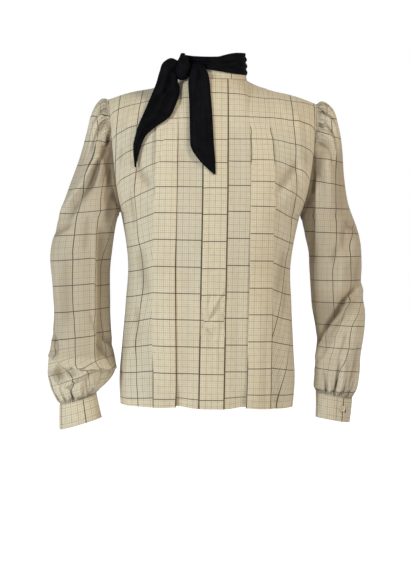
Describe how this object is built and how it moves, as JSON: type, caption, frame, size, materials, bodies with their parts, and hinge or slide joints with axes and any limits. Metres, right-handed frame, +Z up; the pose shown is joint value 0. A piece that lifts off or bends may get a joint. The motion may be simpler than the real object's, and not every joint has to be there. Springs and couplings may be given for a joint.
{
  "type": "blouse",
  "caption": "Long-sleeved checked crepe blouse in its worn form, with pleated fronts, a centre strip, gathered sleeves, buttoned cuffs, a stand neckband and a black neck tie.",
  "frame": {"origin": "the middle of the neck, level with the shoulder seams' neck ends, where the wearer's shoulders hold the blouse", "axes": "+Z up along the wearer's spine, -Y towards the front, +X towards the wearer's left"},
  "size_m": [0.6344, 0.2477, 0.7544],
  "materials": {
    "crepe": "cream crepe with a dark brown windowpane check over a fine brown graph check",
    "tie": "black crepe with a soft sheen",
    "button": "cream, slightly polished"
  },
  "bodies": {
    "root": {"front_right": "crepe", "front_left": "crepe", "placket": "crepe", "back": "crepe", "sleeve_right": "crepe", "sleeve_left": "crepe", "cuff_right": "crepe", "cuff_left": "crepe", "neckband": "crepe", "cuff_button_right": "button", "cuff_button_left": "button", "tie_band": "tie", "tie_knot": "tie", "tie_tail_right": "tie", "tie_tail_left": "tie"}
  },
  "joints": []
}
